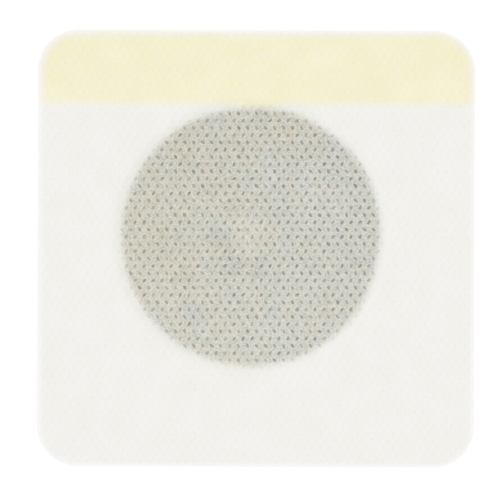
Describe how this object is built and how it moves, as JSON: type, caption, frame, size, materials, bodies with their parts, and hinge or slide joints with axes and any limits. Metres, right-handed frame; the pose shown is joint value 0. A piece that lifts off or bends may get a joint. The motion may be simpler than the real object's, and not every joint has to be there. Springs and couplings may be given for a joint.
{
  "type": "transdermal patch",
  "caption": "Square adhesive skin patch: thin white bonded nonwoven cloth over a round dark medicated pad, lying cloth side up on a split release liner with a yellow peel strip.",
  "frame": {"origin": "middle of the die-cut outline, on the surface that the patch lies on", "axes": "+Z up, out of the cloth side; +Y to the edge with the yellow peel strip; +X to the right, seen from above with +Y up"},
  "size_m": [0.1, 0.1, 0.0011],
  "materials": {
    "cloth": "matte",
    "pad": "matte",
    "liner": "satin",
    "strip": "satin"
  },
  "bodies": {
    "root": {"backing_cloth": "cloth", "medicated_pad": "pad", "release_liner": "liner", "peel_strip": "strip"}
  },
  "joints": []
}
